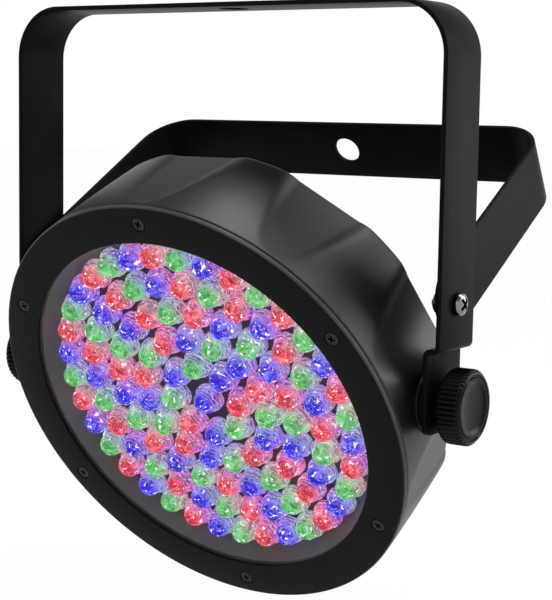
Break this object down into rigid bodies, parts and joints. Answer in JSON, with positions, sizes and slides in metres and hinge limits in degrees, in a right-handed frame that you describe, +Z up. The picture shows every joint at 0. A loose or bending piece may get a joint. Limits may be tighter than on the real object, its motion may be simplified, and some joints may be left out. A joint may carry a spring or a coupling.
{
  "type": "led par light",
  "caption": "Slim round LED stage light with a faceted moulded housing, tilting in a steel hanging bracket, with a second folding bracket that makes a floor stand.",
  "frame": {"origin": "centre of the clamp hole, on the top face of the hanging bracket's top bar", "axes": "+Z up, out of the clamp hole; +X along the tilt axis, to the right as one looks at the lit face; the head faces -Y, tilted down"},
  "size_m": [0.2438, 0.178, 0.2688],
  "materials": {
    "black_paint": "satin powder coat",
    "black_shell": "satin, fine moulded texture",
    "black_knob": "satin",
    "chrome": "polished",
    "black_steel": "black oxide",
    "zinc": "zinc plated",
    "nickel": "nickel plated",
    "brass": "plain",
    "rubber": "matt",
    "nylon": "natural",
    "clear_window": "clear",
    "grey_board": "matt grey, with clear LED bodies",
    "grey_plastic": "matt grey",
    "green_board": "solder mask",
    "display_red": "tinted",
    "black_socket": "satin"
  },
  "bodies": {
    "hanging_frame": {"hanging_bracket": "black_paint", "pivot_nut_left": "chrome", "pivot_nut_right": "chrome", "pivot_screw_left": "chrome", "pivot_screw_right": "chrome", "pivot_washer_left": "nylon", "pivot_washer_right": "nylon"},
    "floor_bracket": {"floor_bracket": "black_paint"},
    "lamp_head": {"bezel_screw_1": "black_steel", "bezel_screw_2": "black_steel", "bezel_screw_3": "black_steel", "bezel_screw_4": "black_steel", "bezel_screw_5": "black_steel", "bezel_screw_6": "black_steel", "board_screw_1": "zinc", "board_screw_2": "zinc", "board_screw_3": "zinc", "board_screw_4": "zinc", "clear_window": "clear_window", "control_board": "green_board", "cover_screw_1": "black_steel", "cover_screw_2": "black_steel", "cover_screw_3": "black_steel", "cover_screw_4": "black_steel", "cover_screw_5": "black_steel", "cover_screw_6": "black_steel", "data_input": "nickel", "data_output": "nickel", "display": "display_red", "friction_washer_left": "rubber", "friction_washer_right": "rubber", "front_bezel": "black_shell", "led_board": "grey_board", "power_board": "green_board", "power_inlet": "black_socket", "power_outlet": "black_socket", "rear_cover": "black_paint", "rear_housing": "black_shell", "ribbon_cable": "rubber", "safety_loop": "zinc", "threaded_insert_left": "brass", "threaded_insert_right": "brass", "window_spacer": "grey_plastic"},
    "stud_left": {"knob_stud_left": "zinc"},
    "stud_right": {"knob_stud_right": "zinc"},
    "hand_knob_left": {"knob_left": "black_knob"},
    "hand_knob_right": {"knob_right": "black_knob"},
    "fuse_drawer": {"fuse_drawer": "black_socket"},
    "output_latch": {"data_output_latch": "black_steel"},
    "button_1": {"menu_button_1": "black_knob"},
    "button_2": {"menu_button_2": "black_knob"},
    "button_3": {"menu_button_3": "black_knob"},
    "button_4": {"menu_button_4": "black_knob"}
  },
  "joints": [
    {"name": "floor_bracket_swing", "type": "hinge", "parent": "hanging_frame", "child": "floor_bracket", "pos_m": [0, 0, -0.123], "axis": [1, 0, 0], "range_deg": [-35, 154.5]},
    {"name": "head_tilt", "type": "hinge", "parent": "hanging_frame", "child": "lamp_head", "pos_m": [0, 0, -0.165], "axis": [1, 0, 0], "range_deg": [-116, 154]},
    {"name": "stud_left_screw_out", "type": "slide", "parent": "lamp_head", "child": "stud_left", "axis": [-1, 0, 0], "range_m": [0, 0.0025]},
    {"name": "knob_left_turn", "type": "hinge", "parent": "stud_left", "child": "hand_knob_left", "pos_m": [0, 0, -0.165], "axis": [-1, 0, 0], "range_deg": [0, 720]},
    {"name": "stud_right_screw_out", "type": "slide", "parent": "lamp_head", "child": "stud_right", "axis": [1, 0, 0], "range_m": [0, 0.0025]},
    {"name": "knob_right_turn", "type": "hinge", "parent": "stud_right", "child": "hand_knob_right", "pos_m": [0, 0, -0.165], "axis": [1, 0, 0], "range_deg": [0, 720]},
    {"name": "button_1_press", "type": "slide", "parent": "lamp_head", "child": "button_1", "axis": [0, -0.8988, -0.4384], "range_m": [0, 0.0012], "stiffness_N_per_m": 300},
    {"name": "button_2_press", "type": "slide", "parent": "lamp_head", "child": "button_2", "axis": [0, -0.8988, -0.4384], "range_m": [0, 0.0012], "stiffness_N_per_m": 300},
    {"name": "button_3_press", "type": "slide", "parent": "lamp_head", "child": "button_3", "axis": [0, -0.8988, -0.4384], "range_m": [0, 0.0012], "stiffness_N_per_m": 300},
    {"name": "button_4_press", "type": "slide", "parent": "lamp_head", "child": "button_4", "axis": [0, -0.8988, -0.4384], "range_m": [0, 0.0012], "stiffness_N_per_m": 300},
    {"name": "latch_press", "type": "slide", "parent": "lamp_head", "child": "output_latch", "axis": [0, -0.8988, -0.4384], "range_m": [0, 0.0015], "stiffness_N_per_m": 300},
    {"name": "fuse_drawer_slide", "type": "slide", "parent": "lamp_head", "child": "fuse_drawer", "axis": [0, 0.8988, 0.4384], "range_m": [0, 0.014]}
  ],
  "couplings": [
    {"joint": "knob_left_turn", "follows": "stud_left_screw_out", "rad_per_m": 5026.5},
    {"joint": "knob_right_turn", "follows": "stud_right_screw_out", "rad_per_m": 5026.5}
  ]
}
